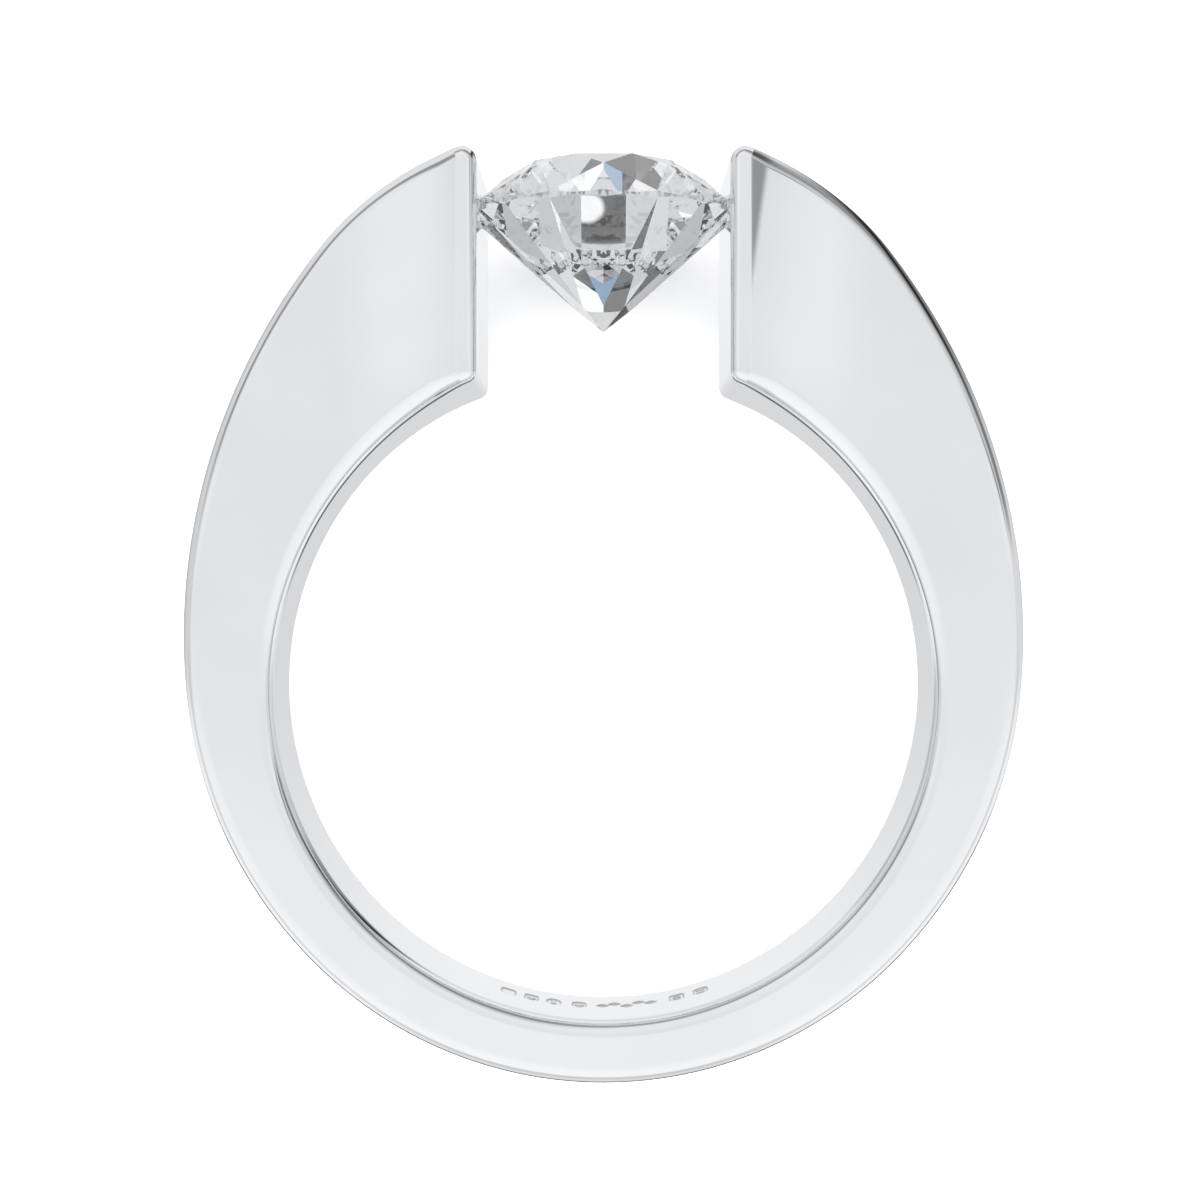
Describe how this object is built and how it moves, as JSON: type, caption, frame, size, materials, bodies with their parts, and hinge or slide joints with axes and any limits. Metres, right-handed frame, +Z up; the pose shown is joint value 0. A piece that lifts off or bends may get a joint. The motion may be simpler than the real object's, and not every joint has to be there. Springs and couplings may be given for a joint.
{
  "type": "solitaire ring",
  "caption": "Polished white-metal finger ring, open at the head, whose two upright end faces grip the girdle of a single round brilliant stone.",
  "frame": {"origin": "on the ground, below the middle of the ring as it lies on its side", "axes": "+Z up from the ground; +Y from the back of the finger towards the stone; +X across the ring. The finger hole's axis leans 4.25 degrees from +Z towards -Y, because the ring rests on the back of its shank and on the wider head"},
  "size_m": [0.0212, 0.0236, 0.0069],
  "materials": {
    "white_metal": "mirror polished, with eased edges",
    "brilliant": "clear, colourless, polished flat facets"
  },
  "bodies": {
    "root": {"band": "white_metal", "stone": "brilliant"}
  },
  "joints": []
}
